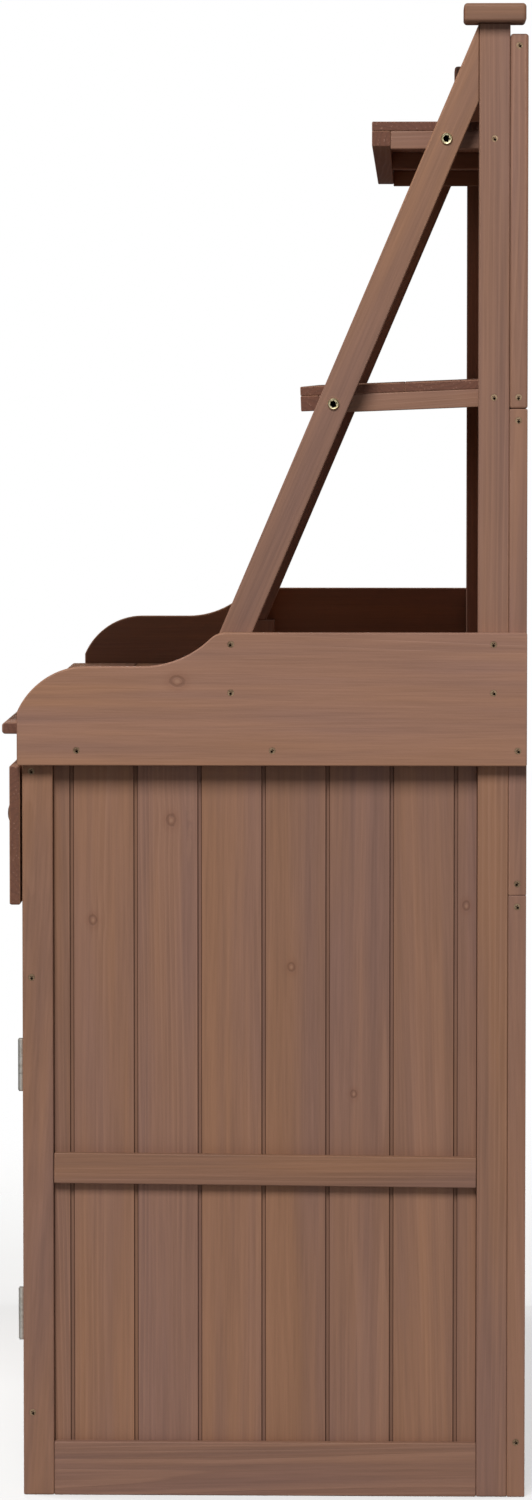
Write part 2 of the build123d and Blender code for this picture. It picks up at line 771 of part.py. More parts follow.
def hinge_leaf_at(low, moving):
    """Leaf of a butt hinge: the moving one has the middle knuckle, the fixed one the outer two."""
    third = hinge_height / 3
    leaf_back_y = front_y + hinge_leaf_depth
    x0 = door_x1 if moving else inner_x - hinge_leaf
    leaf = block(x0, x0 + hinge_leaf, front_y, leaf_back_y, low, low + hinge_height)
    spans = [(third, 2 * third)] if moving else [(0, third), (2 * third, 3 * third)]
    for start, end in spans:
        start += low + (hinge_knuckle_gap / 2 if start > 0 else 0)
        end += low - (hinge_knuckle_gap / 2 if end < hinge_height else 0)
        knuckle = Cylinder(hinge_barrel_radius, end - start)
        knuckle = Pos(hinge_axis_x, hinge_axis_y, (start + end) / 2) * knuckle
        leaf += knuckle + block(x0, x0 + hinge_leaf, hinge_axis_y, front_y, start, end)
    bore = Pos(hinge_axis_x, hinge_axis_y, low + hinge_height / 2) * Cylinder(
        hinge_pin_radius + (hinge_pin_fit if moving else 0), hinge_height
    )
    return leaf - bore


def hinge_frame_leaves():
    return both_sides([hinge_leaf_at(low, moving=False) for low in hinge_lows])


def hinge_pins():
    """Pins with a flat cap above and below the barrel."""
    pins = []
    for low in hinge_lows:
        pin = Cylinder(hinge_pin_radius, hinge_height)
        for end in (-1, 1):
            cap = Cylinder(hinge_pin_cap_radius, hinge_pin_cap)
            pin += Pos(0, 0, end * (hinge_height + hinge_pin_cap) / 2) * cap
        pins.append(Pos(hinge_axis_x, hinge_axis_y, low + hinge_height / 2) * pin)
    return both_sides(pins)


def door_catches():
    """Magnetic catches on the back of the middle front rail."""
    deep = rail_back_y + catch_depth
    face = strike_y + catch_clearance
    edge = middle_rail_bottom
    upper = block(catch_x0, catch_x1, rail_back_y, deep, edge, edge + catch_height)
    lower = block(catch_x0, catch_x1, face, deep, edge - catch_height, edge)
    return both_sides([upper + lower])


# ---------------------------------------------------------------- the whole bench
bench = {
    "front_posts": front_posts(),
    "rear_posts": rear_posts(),
    "post_caps": post_caps(),
    "side_rails": side_rails(),
    "side_panel_right": side_panel(),
    "side_panel_left": mirrored(side_panel()),
    "side_cleats": side_cleats(),
    "side_board_right": side_board(),
    "side_board_left": mirrored(side_board()),
    "front_top_rail": front_rail(top_rail_bottom, worktop_under),
    "front_middle_rail": front_rail(middle_rail_bottom, middle_rail_top),
    "front_bottom_rail": front_rail(front_bottom_rail_level, opening_bottom),
    "worktop_supports": worktop_supports(),
    "worktop_boards": worktop_boards(),
    "back_frame_lower": back_frame(0, back_splits[0], back_foot),
    "back_frame_middle": back_frame(back_splits[0], back_splits[1], back_splits[0]),
    "back_frame_upper": back_frame(back_splits[1], back_top, back_splits[1]),
    "back_boards_lower": back_boards(back_splits[0], back_foot),
    "back_boards_middle": back_boards(back_splits[1], back_splits[0]),
    "back_boards_upper": back_boards(back_top, back_splits[1]),
    "cabinet_floor": cabinet_floor(),
    "cabinet_shelf": cabinet_shelf(),
    "drawer_divider": drawer_divider(),
    "drawer_runners": drawer_runners(),
    "brace_right": brace(),
    "brace_left": mirrored(brace()),
    "brace_feet": brace_feet(),
    "upper_shelf_boards": upper_shelf.boards(),
    "upper_shelf_strip": upper_shelf.strip(),
    "upper_shelf_cleats": upper_shelf.cleats(),
    "middle_shelf_boards": middle_shelf.boards(),
    "middle_shelf_strip": middle_shelf.strip(),
    "middle_shelf_cleats": middle_shelf.cleats(),
    "hinge_frame_leaves": hinge_frame_leaves(),
    "hinge_pins": hinge_pins(),
    "door_catches": door_catches(),
}


def near(first, second):
    """Whether the boxes of two shapes meet."""
    a, b = first.bounding_box(), second.bounding_box()
    return all(
        low_a <= high_b and low_b <= high_a
        for low_a, high_a, low_b, high_b in zip(a.min, a.max, b.min, b.max)
    )


def drilled(pieces, holes):
    """Cut every hole that meets a piece."""
    done = []
    for piece in pieces:
        tools = [hole for hole in holes if near(piece, hole)]
        done.append(piece - tools if tools else piece)
    return done


holes = screw_holes() + bolt_holes()
wooden = [name for name in bench if name not in ("hinge_frame_leaves", "hinge_pins", "door_catches")]
for name in wooden:
    bench[name] = drilled(bench[name], holes)
bench["brace_bolts"] = brace_bolts()
bench["brace_nuts"] = brace_nuts()
bench["wood_screws"] = wood_screws()

nodes = dict(bench)
for kind, pieces in (("drawer", drawer_pieces()), ("door", door_pieces())):
    for ending, solids in pieces.items():
        nodes[f"{kind}_right_{ending}"] = solids
        nodes[f"{kind}_left_{ending}"] = mirrored(solids)

for name, pieces in nodes.items():
    solids = [solid for piece in pieces for solid in piece.solids()]
    export_step(Compound(solids), f"parts/{name}.step")
print(len(nodes), "nodes")
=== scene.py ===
"""Potting bench of stained fir: its boards, turned knobs, screws, bolts and hinges, ready to show.

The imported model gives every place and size. Each wooden part becomes boards with eased arrises,
and each board has its own piece of the tree: how far along it, how far from its heart, its tint.
"""

import json
import math
import random

import bmesh
import bpy
from mathutils import Matrix, Vector

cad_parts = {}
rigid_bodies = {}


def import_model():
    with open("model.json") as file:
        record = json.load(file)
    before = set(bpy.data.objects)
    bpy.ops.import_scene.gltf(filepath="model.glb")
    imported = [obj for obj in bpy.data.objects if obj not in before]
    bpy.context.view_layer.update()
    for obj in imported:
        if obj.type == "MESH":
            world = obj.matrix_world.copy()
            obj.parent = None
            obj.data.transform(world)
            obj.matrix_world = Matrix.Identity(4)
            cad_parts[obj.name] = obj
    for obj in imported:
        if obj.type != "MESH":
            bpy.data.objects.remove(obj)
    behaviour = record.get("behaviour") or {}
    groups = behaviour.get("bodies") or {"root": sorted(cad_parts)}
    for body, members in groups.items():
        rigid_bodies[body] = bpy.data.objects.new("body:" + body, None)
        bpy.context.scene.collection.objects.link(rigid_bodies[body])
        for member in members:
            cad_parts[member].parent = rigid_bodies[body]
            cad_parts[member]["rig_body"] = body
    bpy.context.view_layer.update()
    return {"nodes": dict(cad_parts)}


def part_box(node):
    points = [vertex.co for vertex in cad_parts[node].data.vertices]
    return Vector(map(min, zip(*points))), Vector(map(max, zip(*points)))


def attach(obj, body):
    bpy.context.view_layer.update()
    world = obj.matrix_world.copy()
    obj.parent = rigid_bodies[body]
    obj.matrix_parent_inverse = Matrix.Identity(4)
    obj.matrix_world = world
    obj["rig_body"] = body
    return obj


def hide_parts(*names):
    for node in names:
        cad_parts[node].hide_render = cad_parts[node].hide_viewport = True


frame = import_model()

MM = 0.001
SAME_POINT = 0.002 * MM  # corners nearer than this are one corner
SHORTEST_ARRIS = 22 * MM  # a shorter run of sharp edges is the rim of a screw hole
nodes = frame["nodes"]
draw = random.Random(1907)


# ---------------------------------------------------------------- how a finish is written down
class Wire:
    """A socket used in a sum: each operator adds the Math node that works it out."""

    def __init__(self, finish, socket):
        self.finish = finish
        self.socket = socket

    def maths(self, operation, *terms):
        return self.finish.node("ShaderNodeMath", {"operation": operation}, terms)

    def __add__(self, other):
        return self.maths("ADD", self, other)

    def __sub__(self, other):
        return self.maths("SUBTRACT", self, other)

    def __rsub__(self, other):
        return self.maths("SUBTRACT", other, self)

    def __mul__(self, other):
        return self.maths("MULTIPLY", self, other)

    def __truediv__(self, other):
        return self.maths("DIVIDE", self, other)

    __radd__ = __add__

    def fraction(self):
        return self.maths("FRACT", self)

    def clamped(self):
        return self.finish.node("ShaderNodeClamp", {}, (self,))


class Finish:
    """A material made of nodes around one shader."""

    def __init__(self, name, **constants):
        self.material = bpy.data.materials.new(name)
        self.material.use_nodes = True
        self.tree = self.material.node_tree
        self.shader = self.tree.nodes["Principled BSDF"]
        for socket, value in constants.items():
            self.shader.inputs[socket.replace("_", " ")].default_value = value

    def node(self, kind, settings, sockets, output=0):
        """Adds a node: its settings first, then what goes into its sockets, by place or by name."""
        made = self.tree.nodes.new(kind)
        for key, value in settings.items():
            setattr(made, key, value)
        for key, value in sockets.items() if isinstance(sockets, dict) else enumerate(sockets):
            if isinstance(value, Wire):
                self.tree.links.new(value.socket, made.inputs[key])
            else:
                made.inputs[key].default_value = value
        return Wire(self, made.outputs[output])

    def parts(self, vector):
        """A vector's three numbers."""
        return [self.node("ShaderNodeSeparateXYZ", {}, (vector,), axis) for axis in range(3)]

    def attribute(self, name, output="Fac"):
        return self.node("ShaderNodeAttribute", {"attribute_name": name}, {}, output)

    def place(self):
        return self.node("ShaderNodeTexCoord", {}, {}, "Object")

    def stretched(self, vector, scales):
        return self.node("ShaderNodeVectorMath", {"operation": "MULTIPLY"}, (vector, scales))

    def noise(self, vector, scales, detail, rough=0.5):
        """Noise from 0 to 1, with its own scale along each direction."""
        vector = self.stretched(vector, scales)
        sockets = {"Vector": vector, "Scale": 1.0, "Detail": detail, "Roughness": rough}
        return self.node("ShaderNodeTexNoise", {}, sockets)

    def step(self, value, start, end):
        """0 before start and 1 after end, with a soft rise between; end may be under start."""
        low, high, first, last = (start, end, 0.0, 1.0) if start < end else (end, start, 1.0, 0.0)
        settings = {"interpolation_type": "SMOOTHSTEP"}
        return self.node("ShaderNodeMapRange", settings, (value, low, high, first, last))

    def mix(self, factor, first, second, how="MIX"):
        settings = {"data_type": "RGBA", "blend_type": how}
        return self.node("ShaderNodeMix", settings, {0: factor, 6: first, 7: second}, 2)

    def tone(self, value):
        """A grey of that value, to multiply a colour by."""
        return self.node("ShaderNodeCombineColor", {}, (value, value, value))

    def feed(self, socket, wire):
        self.tree.links.new(wire.socket, self.shader.inputs[socket])

    def relief(self, height, depth, strength):
        sockets = {"Strength": strength, "Distance": depth, "Height": height}
        self.feed("Normal", self.node("ShaderNodeBump", {}, sockets))


def paint(red, green, blue):
    """A colour given in everyday 0 to 255 values."""
    def linear(value):
        value /= 255
        return value / 12.92 if value <= 0.04045 else ((value + 0.055) / 1.055) ** 2.4
    return linear(red), linear(green), linear(blue), 1.0


# ---------------------------------------------------------------- finishes
def stained_fir():
    """Fir under a thin brown stain: growth rings round the heart, streaks, fibres and knots."""
    ring_width, knot_pull = 0.0047, 0.0016  # metres
    finish = Finish("stained_fir", Specular_IOR_Level=0.28)
    grain = finish.attribute("grain", "Vector")
    tint, bright, age = finish.parts(finish.attribute("board", "Vector"))
    arris = finish.attribute("arris")
    cut_end = finish.attribute("cut_end")

    # A knot pushes the rings aside, and the rings wander a little along the board.
    knot = finish.attribute("knot", "Vector")
    knot_wave = finish.noise(grain, (160.0, 210.0, 210.0), 2.0) - 0.5
    knot_far = finish.node("ShaderNodeVectorMath", {"operation": "LENGTH"}, (knot,), "Value")
    knot_far = knot_far * (1 + knot_wave * 0.5)
    pulled = finish.step(knot_far, 6.0, 0.5)
    wander = finish.noise(grain, (1.3, 11.0, 11.0), 2.0) - 0.5
    spread = finish.noise(grain, (0.7, 48.0, 48.0), 1.0) - 0.5
    across, through = finish.parts(grain)[1:]
    squares = across * across + through * through
    heart = squares.maths("SQRT", squares) + wander * 0.018 + spread * 0.012 + pulled * knot_pull
    year = (heart / ring_width + age).fraction()
    late = finish.step(year, 0.45, 0.88) * finish.step(year, 1.0, 0.93)
    shown = finish.step(finish.noise(grain, (1.1, 17.0, 17.0), 2.0), 0.40, 0.68)

    streaks = finish.noise(grain, (1.4, 75.0, 75.0), 2.0) - 0.5
    fibres = finish.noise(grain, (11.0, 420.0, 420.0), 3.0, 0.6) - 0.5
    clouds = finish.noise(grain, (2.2, 16.0, 16.0), 2.0) - 0.5
    specks = finish.noise(grain, (260.0, 420.0, 420.0), 2.0, 0.7)

    # Each board is somewhere between a cool and a warm brown; the harder late wood shows paler.
    cool_brown, warm_brown = paint(139, 104, 90), paint(142, 103, 79)
    late_wood = paint(170, 128, 105)
    warmth = (0.34 + tint * 0.46 + clouds * 2.6 + streaks * 0.9).clamped()
    colour = finish.mix(warmth, cool_brown, warm_brown)
    value = bright + streaks * 0.50 + fibres * 0.42 + clouds * 0.22
    colour = finish.mix(1.0, colour, finish.tone(value), "MULTIPLY")
    colour = finish.mix(late * shown * 0.30, colour, late_wood)

    # A knot: a dark ring, red-brown wood round it and a paler heart.
    red_brown, dark_ring, pale_heart = paint(122, 78, 58), paint(78, 50, 38), paint(176, 138, 112)
    knot_ring = finish.step(knot_far, 1.15, 0.9) * (1 - finish.step(knot_far, 0.75, 0.5))
    knot_heart = finish.step(knot_far, 0.5, 0.15)
    colour = finish.mix(finish.step(knot_far, 2.6, 0.6) * 0.26, colour, red_brown)
    colour = finish.mix(knot_ring * 0.28, colour, dark_ring)
    colour = finish.mix(knot_heart * 0.35, colour, pale_heart)

    # Sawn ends drink more stain and keep pale flecks.
    end_wood, end_rings, pale_fleck = paint(104, 66, 52), paint(80, 49, 39), paint(170, 132, 114)
    ends = finish.mix(late * 0.5, end_wood, end_rings)
    ends = finish.mix(finish.step(specks, 0.60, 0.74) * 0.6, ends, pale_fleck)
    colour = finish.mix(cut_end * 0.85, colour, ends)

    # Handled arrises are rubbed lighter: partly real wear, partly a painted highlight on the
    # rounded edges.
    wear_and_highlight_wood, pooled_stain_and_shade = paint(196, 156, 132), paint(70, 41, 30)
    wear_and_highlight_patches = finish.step(finish.noise(grain, (18.0, 60.0, 60.0), 3.0, 0.6), 0.30, 0.62)
    colour = finish.mix(arris.clamped() * (0.24 + wear_and_highlight_patches * 0.40), colour, wear_and_highlight_wood)
    # Stain gathers in the grooves between tongued boards, and the groove walls and tongue strip are
    # darkened further as painted shade.
    colour = finish.mix((0 - arris).clamped() * 0.84, colour, pooled_stain_and_shade)

    finish.feed("Base Color", colour)
    finish.feed("Roughness", 0.58 + fibres * 0.25 - late * 0.05 + cut_end * 0.2)
    height = fibres * 0.9 + late * shown * 0.5 - knot_ring * 0.8 + specks * cut_end * 1.6
    finish.relief(height, 0.0004, 0.6)
    return finish.material


def metal(name, clean, dull, scratch, rough, coat=0.0):
    """Metal: a clean colour that clouds over to a dull one, fine scratches and a recess painted
    dark as shade.
    """
    finish = Finish(name, Coat_Weight=coat)
    place = finish.place()
    clouds = finish.noise(place, (130.0, 130.0, 130.0), 4.0, 0.6)
    hair = finish.noise(place, (300.0, 2600.0, 900.0), 2.0, 0.6)
    colour = finish.mix(finish.step(clouds, 0.35, 0.75), clean, dull)
    colour = finish.mix(finish.step(hair, 0.62, 0.80) * 0.5, colour, scratch)
    # The recess is painted dark and made less shiny, as painted shade inside the socket.
    recess, recess_shade_colour = finish.attribute("recess"), paint(26, 19, 13)
    colour = finish.mix(recess * 0.9, colour, recess_shade_colour)
    finish.feed("Base Color", colour)
    finish.feed("Metallic", (1 - finish.step(clouds, 0.60, 0.85) * 0.25) * (1 - recess * 0.8))
    finish.feed("Roughness", rough + clouds * 0.22 + hair * 0.08 + recess * 0.25)
    finish.relief(clouds * 0.4 + hair * 0.6, 0.00006, 0.5)
    return finish.material


def moulded_plastic():
    """Black moulded plastic with a fine spark-eroded surface."""
    finish = Finish("black_moulding")
    place = finish.place()
    spark = finish.noise(place, (2400.0, 2400.0, 2400.0), 2.0)
    rubs = finish.noise(place, (90.0, 260.0, 90.0), 3.0)
    colour = finish.mix(finish.step(rubs, 0.45, 0.8), paint(24, 24, 25), paint(52, 51, 50))
    finish.feed("Base Color", colour)
    finish.feed("Roughness", 0.42 + spark * 0.2)
    finish.relief(spark, 0.00005, 0.6)
    return finish.material


def studio_floor():
    """Pale floor that thins out into the white backdrop."""
    finish = Finish("pale_floor", Specular_IOR_Level=0.1)
    place = finish.place()
    mottle = finish.noise(place, (3.0, 3.0, 3.0), 4.0)
    finish.feed("Base Color", finish.mix(mottle, paint(232, 231, 229), paint(238, 237, 235)))
    finish.feed("Roughness", 0.85 + mottle * 0.1)
    far = finish.node("ShaderNodeVectorMath", {"operation": "LENGTH"}, (place,), "Value")
    finish.feed("Alpha", finish.step(far, 2.4, 0.8) * 0.5)
    return finish.material


fir = stained_fir()
brass = metal(
    "bolt_brass", paint(232, 222, 184), paint(198, 182, 136), paint(244, 238, 212), 0.30, 0.1
)
zinc = metal("zinc_plate", paint(222, 219, 212), paint(184, 179, 168), paint(238, 236, 230), 0.46)
screw_plate = metal(
    "screw_plate", paint(190, 160, 130), paint(124, 100, 78), paint(230, 210, 180), 0.34
)
plastic = moulded_plastic()


# ---------------------------------------------------------------- meshes
def parted(node):
    """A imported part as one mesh; its closed solids are numbered and stay apart where they touch.

    The faces come solid by solid, so a solid is whole once every edge has met its other side.
    """
    shape = bmesh.new()
    shape.from_mesh(nodes[node].data)
    shape.verts.ensure_lookup_table()
    same = bmesh.ops.find_doubles(shape, verts=shape.verts, dist=SAME_POINT)["targetmap"]
    solid = shape.faces.layers.int.new("solid")
    number, unmatched = 0, set()
    for face in shape.faces:
        face[solid] = number
        corners = [same.get(vert, vert).index for vert in face.verts]
        for side in zip(corners, corners[1:] + corners[:1]):
            if side[::-1] in unmatched:
                unmatched.remove(side[::-1])
            else:
                unmatched.add(side)
        if not unmatched:
            number += 1
    for verts in by_solid(shape, solid).values():
        bmesh.ops.remove_doubles(shape, verts=list(verts), dist=SAME_POINT)
    flat = {"angle_limit": math.radians(0.3), "delimit": set()}
    bmesh.ops.dissolve_limit(shape, verts=shape.verts, edges=shape.edges, **flat)
    return shape, solid


def by_solid(shape, solid):
    """The corners of each numbered solid, in the order of its faces."""
    found = {}
    for face in shape.faces:
        found.setdefault(face[solid], {}).update(dict.fromkeys(face.verts))
    return found


def span(corners):
    """Lowest and highest corner of some vertices."""
    low = Vector(min(v.co[axis] for v in corners) for axis in range(3))
    high = Vector(max(v.co[axis] for v in corners) for axis in range(3))
    return low, high


def long_arrises(shape):
    """Sharp outer edges in runs longer than a screw hole's rim."""
    sharp = {e for e in shape.edges if e.is_convex and e.calc_face_angle(0.0) > math.radians(50)}
    kept = []
    while sharp:
        run = [sharp.pop()]
        for edge in run:
            near = {other for vert in edge.verts for other in vert.link_edges} & sharp
            sharp -= near
            run += sorted(near, key=lambda e: e.index)
        low, high = span({vert for edge in run for vert in edge.verts})
        if (high - low).length > SHORTEST_ARRIS:
            kept += run
    return sorted(kept, key=lambda e: e.index)


def ease(shape, width, steps):
    """Rounds the arrises by width and gives the faces that round them."""
    shape.edges.index_update()
    rounding = {"affect": "EDGES", "offset_type": "OFFSET", "profile": 0.5, "material": -1}
    rounding.update({"offset": width, "segments": steps, "clamp_overlap": False})
    return bmesh.ops.bevel(shape, geom=long_arrises(shape), **rounding)["faces"]


def lay_grain(shape, solid, rounded, node, along=None):
    """Gives each board its own piece of the tree, with the grain along its longest edge.

    grain is the place in the tree: along the board, and across it from the heart. board holds its
    tint, brightness and age, and knot the place from its knot's middle in knot radii. arris is 1 on
    rounded edges and under 0 in grooves, and cut_end is 1 on faces sawn across the grain.
    """
    grain, board, knot = (
        shape.verts.layers.float_vector.new(name) for name in ("grain", "board", "knot")
    )
    arris, cut_end = (shape.faces.layers.float.new(name) for name in ("arris", "cut_end"))
    # Rounded faces are marked for rubbed wear and a painted highlight.
    for face in rounded:
        if face.is_valid:
            face[arris] = 1.0
    shape.normal_update()
    brightness, tints = tints_and_shade_by_part.get(node, (1.0, (0.5,)))
    laid = {}
    for order, (number, corners) in enumerate(sorted(by_solid(shape, solid).items())):
        edges = dict.fromkeys(edge for vert in corners for edge in vert.link_edges)
        longest = max(edges, key=lambda e: round(e.calc_length(), 5))
        way = along or (longest.verts[1].co - longest.verts[0].co).normalized()
        way = way * math.copysign(1.0, max(way, key=abs))
        low, high = span(corners)
        middle, size = (low + high) / 2, high - low
        thin = min((a for a in range(3) if abs(way[a]) < 0.8), key=lambda a: round(size[a], 4))
        through = Vector(float(axis == thin) for axis in range(3))
        across = through.cross(way).normalized()
        turn, far = draw.uniform(0, 2 * math.pi), draw.uniform(18, 95) * MM
        start, age = draw.uniform(1, 40), draw.uniform(0, 9)
        lean = [draw.gauss(0, 0.014) for _ in range(2)]
        tint = tints[order % len(tints)] + draw.uniform(-0.2, 0.2)
        bright = brightness * draw.uniform(0.95, 1.05)
        eye, radius = place_of_knot(node, low, high, way, across)
        for vert in corners:
            place = vert.co - middle
            run = place.dot(way)
            vert[grain] = Vector((
                run + start,
                place.dot(across) + far * math.cos(turn) + lean[0] * run,
                place.dot(through) + far * math.sin(turn) + lean[1] * run,
            ))
            vert[board] = Vector((tint, bright, age))
            off = vert.co - eye
            vert[knot] = Vector((off.dot(way) * 0.75, off.dot(across), 0)) / radius
        laid[number] = way, through, high[thin], low[thin]
    tongued = node in tongued_parts
    for face in shape.faces:
        way, through, top, bottom = laid[face[solid]]
        level = abs(face.normal.dot(through))
        if abs(face.normal.dot(way)) > 0.8:
            face[cut_end] = 1.0
        # Groove walls and tongue strips are marked for pooled stain and painted shade.
        elif tongued and level < 0.95:
            face[arris] = -1.0
        elif tongued:
            depth = face.calc_center_median().dot(through)
            if min(abs(depth - top), abs(depth - bottom)) > 1.0 * MM:
                face[arris] = -0.25


def place_of_knot(node, low, high, way, across):
    """Where a board's knot is and its radius; a board without one has it far away."""
    middle, size = (low + high) / 2, high - low
    for part, y, z, radius in known_knots:
        if part == node and low.y < y < high.y and low.z < z < high.z:
            return Vector((middle.x, y, z)), radius * MM
    there, run, side = draw.random() < 0.45, draw.uniform(-0.45, 0.45), draw.uniform(-0.38, 0.38)
    radius = draw.uniform(2.2, 4.8) * MM
    if not there or node in clear_parts:
        return middle + way * 9.0, radius
    length = sum(abs(way[axis]) * size[axis] for axis in range(3))
    width = sum(abs(across[axis]) * size[axis] for axis in range(3)) if abs(way.z) in (0, 1) else 0
    return middle + way * length * run + across * width * side, radius


def shade(shape, turn=32):
    """Smooth faces that keep their edges sharp past that many degrees."""
    for face in shape.faces:
        face.smooth = True
    for edge in shape.edges:
        edge.smooth = edge.calc_face_angle(math.pi) < math.radians(turn)


def piece(name, shape, finish, body, stands_for, flat_faces=True):
    """Makes the mesh a piece of the bench, riding on its body."""
    mesh = bpy.data.meshes.new(name)
    shape.to_mesh(mesh)
    shape.free()
    mesh.materials.clear()
    mesh.materials.append(finish)
    for polygon in mesh.polygons:
        polygon.material_index = 0
    made = bpy.data.objects.new(name, mesh)
    bpy.context.scene.collection.objects.link(made)
    if flat_faces:
        level = made.modifiers.new("level_faces", "WEIGHTED_NORMAL")
        level.keep_sharp = True
    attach(made, body)
    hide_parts(*stands_for)


# ---------------------------------------------------------------- boards
usual_arris = 1.1  # in mm, as below
tongued_parts = (
    "side_panel_right", "side_panel_left", "back_boards_lower", "back_boards_middle",
    "back_boards_upper", "door_right_boards", "door_left_boards",
)
arris_width = dict.fromkeys(tongued_parts, 0.8)
arris_width.update({
    "back_frame_upper": 2.8, "front_posts": 1.6, "rear_posts": 1.6, "brace_right": 1.6,
    "brace_left": 1.6, "side_board_right": 1.7, "side_board_left": 1.7, "side_rails": 1.3,
    "drawer_right_front": 1.8, "drawer_left_front": 1.8, "worktop_boards": 1.3,
    "drawer_right_bottom": 0.5, "drawer_left_bottom": 0.5,
})
front_to_back = Vector((0, 1, 0))
grain_way = {"post_caps": front_to_back}
clear_parts = ("post_caps", "front_posts", "rear_posts", "brace_right", "brace_left")
known_knots = [  # part, y and z of the middle in metres, radius in mm
    ("side_board_right", -0.0763, 0.7998, 5.5), ("side_panel_right", 0.0339, 0.5194, 3.6),
    ("side_panel_right", 0.0948, 0.395, 3.2), ("side_panel_right", -0.1598, 0.5651, 4.0),
    ("side_panel_right", -0.0833, 0.6628, 4.6), ("side_panel_left", 0.02, 0.25, 4.0),
]
panel_tints = (0.25, 0.75, 0.1, 0.85, 0.7, 0.2, 0.75, 0.3)
# Each part's brightness holds its tone and some painted light: the post caps and right brace are
# darkened as painted shade at the top of the bench.
tints_and_shade_by_part = {  # brightness, and the warmth of its boards in turn
    "side_board_right": (1.20, (0.65,)), "side_board_left": (1.20, (0.6,)),
    "brace_right": (0.99, (0.5,)), "brace_left": (1.07, (0.3,)), "brace_feet": (1.1, (0.6,)),
    "front_posts": (1.02, (0.7, 0.65)), "rear_posts": (1.02, (0.4, 0.4)),
    "post_caps": (0.74, (0.1,)), "back_frame_lower": (1.08, (0.6, 0.5)),
    "back_frame_middle": (1.08, (0.6, 0.4)), "back_frame_upper": (1.08, (0.6, 0.5)),
    "side_rails": (0.96, (0.45, 0.55)), "side_panel_right": (1.0, panel_tints),
    "side_panel_left": (1.0, panel_tints[::-1]), "worktop_boards": (1.04, (0.7, 0.4, 0.6)),
    "door_right_boards": (1.02, panel_tints), "door_left_boards": (1.02, panel_tints[::-1]),
    "back_boards_lower": (1.02, panel_tints), "back_boards_middle": (1.02, panel_tints[::-1]),
    "back_boards_upper": (1.0, panel_tints), "upper_shelf_boards": (0.92, (0.3, 0.5)),
    "upper_shelf_strip": (0.9, (0.3,)), "drawer_right_front": (1.03, (0.7,)),
    "drawer_left_front": (1.03, (0.35,)),
}
wooden = [n for n in sorted(nodes) if nodes[n].data.materials[0].name.startswith("stained_wood")]
for node in wooden:
    if node.endswith("knob"):
        continue
    shape, solid = parted(node)
    rounded = ease(shape, arris_width.get(node, usual_arris) * MM, 3)
    lay_grain(shape, solid, rounded, node, grain_way.get(node))
    shade(shape)
    piece(node + "_fir", shape, fir, nodes[node]["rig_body"], [node])


# ---------------------------------------------------------------- turned knobs
knob_outline = [  # distance from the axis and distance out from the board, in mm
    (0, -9.9), (3.9, -9.9), (3.9, 0), (9.0, 0), (9.2, 0.7), (8.8, 1.5), (7.5, 2.2), (7.0, 3.6),
    (7.1, 5.6), (7.9, 7.6), (9.6, 9.2), (12.2, 10.4), (14.0, 11.3), (14.9, 12.6), (14.95, 13.9),
    (14.2, 15.5), (12.6, 17.2), (11.0, 18.4), (10.5, 18.5), (10.1, 18.9), (7.6, 20.2), (4.6, 21.1),
    (2.0, 21.4), (0, 21.45),
]


def turned_knob(node):
    """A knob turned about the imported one's axis, its spigot in the board's hole."""
    low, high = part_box(node)
    face_y = low.y + 21.5 * MM  # the board's face
    shape = bmesh.new()
    axis_x, axis_z = (low.x + high.x) / 2, (low.z + high.z) / 2
    line = [
        shape.verts.new((axis_x + far * MM, face_y - out * MM, axis_z)) for far, out in knob_outline
    ]
    edges = [shape.edges.new(pair) for pair in zip(line, line[1:])]
    turning = {"cent": (axis_x, face_y, axis_z), "axis": (0, 1, 0), "angle": 2 * math.pi}
    bmesh.ops.spin(shape, geom=line + edges, steps=56, use_merge=True, **turning)
    bmesh.ops.remove_doubles(shape, verts=shape.verts, dist=SAME_POINT)
    bmesh.ops.recalc_face_normals(shape, faces=shape.faces)
    solid = shape.faces.layers.int.new("solid")
    lay_grain(shape, solid, [], node, front_to_back)
    shade(shape, 50)
    piece(node + "_turned", shape, fir, nodes[node]["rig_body"], [node], False)


for node in wooden:
    if node.endswith("knob"):
        turned_knob(node)


# ---------------------------------------------------------------- screws and bolts
def cross_recess(reach, wide):
    """Corners of a cross in turn, in mm."""
    arm = [Vector((reach, -wide, 0)), Vector((reach, wide, 0)), Vector((wide, wide, 0))]
    quarters = [Matrix.Rotation(math.pi / 2 * quarter, 3, "Z") for quarter in range(4)]
    return [turn @ corner for turn in quarters for corner in arm]


def hex_recess(corner):
    """Corners of a hexagon and the middles of its sides in turn, in mm."""
    spokes = [corner, corner * math.cos(math.pi / 6)] * 6
    angles = [math.pi / 6 * order for order in range(12)]
    return [Vector((far * math.cos(a), far * math.sin(a), 0)) for far, a in zip(spokes, angles)]


